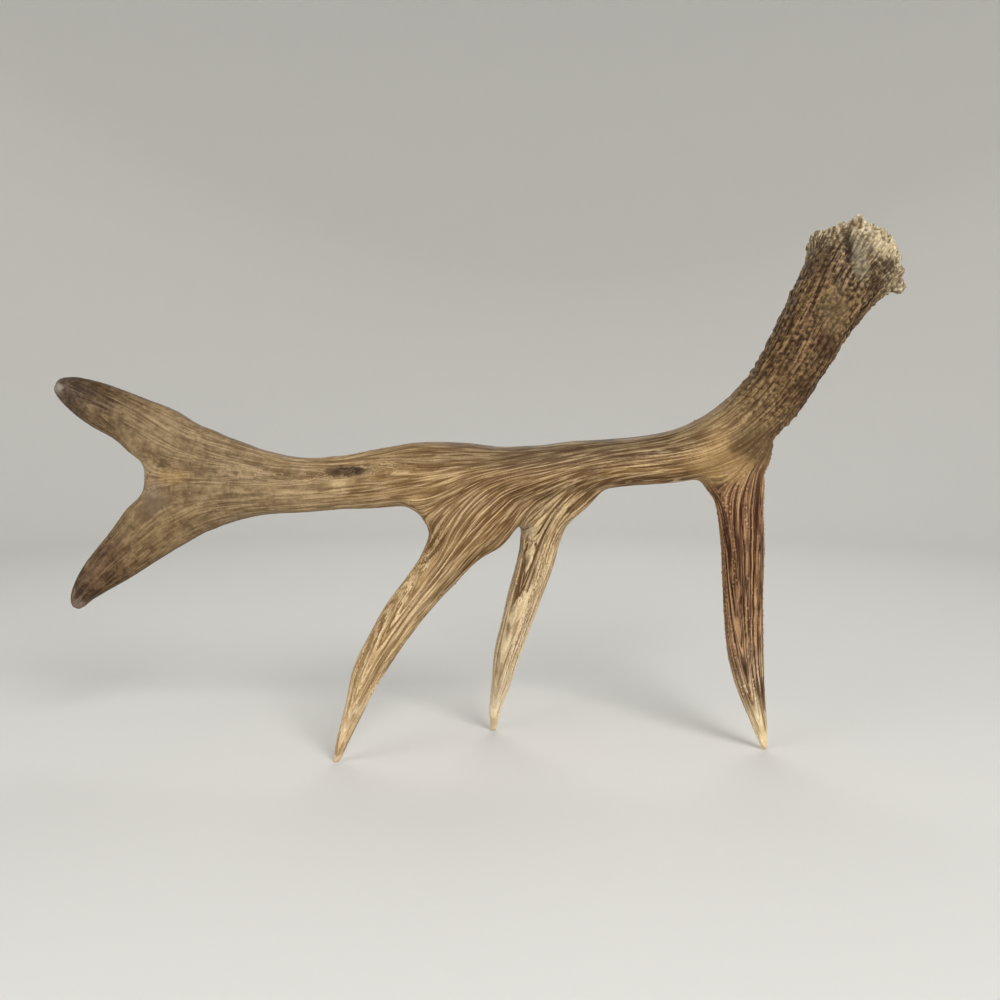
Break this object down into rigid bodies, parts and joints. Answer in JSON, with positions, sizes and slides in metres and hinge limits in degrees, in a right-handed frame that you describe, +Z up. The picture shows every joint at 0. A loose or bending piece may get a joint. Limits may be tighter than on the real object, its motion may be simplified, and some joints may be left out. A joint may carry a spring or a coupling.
{
  "type": "moose antler",
  "caption": "Cast antler with a knobbly burr, a brow tine, middle tines and a forked end, standing on its tine tips.",
  "frame": {"origin": "on the floor, under the middle of the antler's box", "axes": "+X along the beam from the forked end to the burr, +Y away from the front side, +Z up"},
  "size_m": [0.7706, 0.1328, 0.4735],
  "materials": {
    "pearled_beam": "rough pearled antler, dark olive brown with pale worn knobs",
    "dark_tine": "ridged antler, dark red-brown with pale beaded crests and a cream polished tip",
    "grained_beam": "satin antler with long brown and cream grain lines",
    "pale_tine": "grooved antler, golden tan with brown grooves and a polished cream tip",
    "smooth_fork": "smooth satin antler, mottled grey-brown with golden patches"
  },
  "bodies": {
    "root": {"beam_base": "pearled_beam", "brow_tine": "dark_tine", "mid_beam": "grained_beam", "front_tine": "pale_tine", "back_tine": "pale_tine", "upper_beam": "smooth_fork", "top_fork_tine": "smooth_fork", "low_fork_tine": "smooth_fork"}
  },
  "joints": []
}
